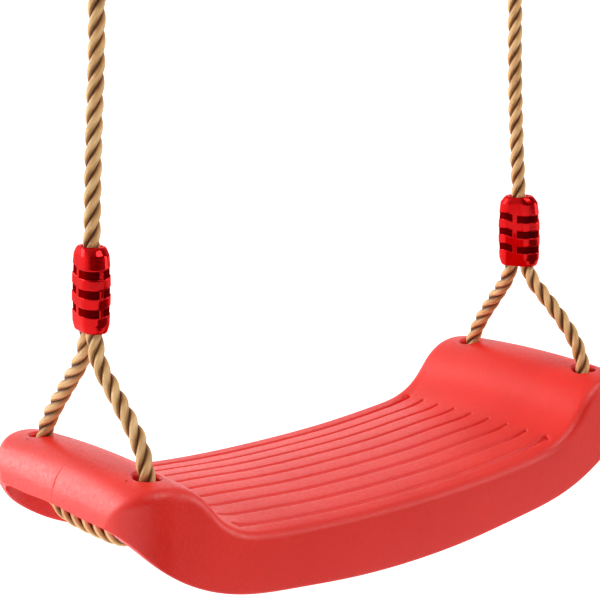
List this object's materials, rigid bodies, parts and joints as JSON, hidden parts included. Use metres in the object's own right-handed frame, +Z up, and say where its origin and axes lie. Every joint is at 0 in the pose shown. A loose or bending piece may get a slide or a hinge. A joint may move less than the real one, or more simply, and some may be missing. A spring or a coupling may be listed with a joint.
{
  "type": "board swing seat",
  "caption": "Curved moulded board swing seat with raised ends and a ribbed tread, hung on two twisted ropes through rope adjusters to steel rings.",
  "frame": {"origin": "midway between the points where the hooks of a beam carry the two hanging rings", "axes": "+Z up, +X along the seat towards its right end as seen from the front, +Y from the seat's front edge to its back edge"},
  "size_m": [0.443, 0.163, 0.4592],
  "materials": {
    "seat_plastic": "satin, finely grained",
    "adjuster_plastic": "glossy",
    "rope": "three-strand twisted fibre",
    "ring_steel": "zinc plated",
    "thimble_plastic": "moulded",
    "ferrule_metal": "pressed"
  },
  "bodies": {
    "hanging_rings": {"left_hanging_ring": "ring_steel", "right_hanging_ring": "ring_steel"},
    "rope_eyes": {"left_thimble": "thimble_plastic", "left_eye_rope": "rope", "left_ferrule": "ferrule_metal", "right_thimble": "thimble_plastic", "right_eye_rope": "rope", "right_ferrule": "ferrule_metal"},
    "left_rope": {"left_upper_rope": "rope"},
    "right_rope": {"right_upper_rope": "rope"},
    "left_adjuster": {"left_adjuster_front": "adjuster_plastic", "left_adjuster_back": "adjuster_plastic", "left_inner_rope": "rope", "left_rope_tail": "rope"},
    "right_adjuster": {"right_adjuster_front": "adjuster_plastic", "right_adjuster_back": "adjuster_plastic", "right_inner_rope": "rope", "right_rope_tail": "rope"},
    "seat": {"seat": "seat_plastic", "left_loop_rope": "rope", "right_loop_rope": "rope"}
  },
  "joints": [
    {"name": "swing", "type": "hinge", "parent": "hanging_rings", "child": "rope_eyes", "pos_m": [0, 0, -0.037], "axis": [1, 0, 0], "range_deg": [-50, 50]},
    {"name": "side_sway", "type": "hinge", "parent": "rope_eyes", "child": "left_rope", "pos_m": [-0.1745, 0, -0.0832], "axis": [0, 1, 0], "range_deg": [-10, 10]},
    {"name": "right_rope_sway", "type": "hinge", "parent": "rope_eyes", "child": "right_rope", "pos_m": [0.1745, 0, -0.0832], "axis": [0, 1, 0], "range_deg": [-10, 10]},
    {"name": "left_adjuster_level", "type": "hinge", "parent": "left_rope", "child": "left_adjuster", "pos_m": [-0.1824, 0, -0.23824], "axis": [0, 1, 0], "range_deg": [-10, 10]},
    {"name": "right_adjuster_level", "type": "hinge", "parent": "right_rope", "child": "right_adjuster", "pos_m": [0.18481, 0, -0.24575], "axis": [0, 1, 0], "range_deg": [-10, 10]},
    {"name": "seat_rock", "type": "hinge", "parent": "left_adjuster", "child": "seat", "pos_m": [-0.1842, 0, -0.2837], "axis": [0.9998, 0, -0.0202], "range_deg": [-10, 10]}
  ],
  "couplings": [
    {"joint": "right_rope_sway", "follows": "side_sway", "ratio": 0.95604},
    {"joint": "left_adjuster_level", "follows": "side_sway", "ratio": -0.95166},
    {"joint": "right_adjuster_level", "follows": "side_sway", "ratio": -0.9077}
  ]
}
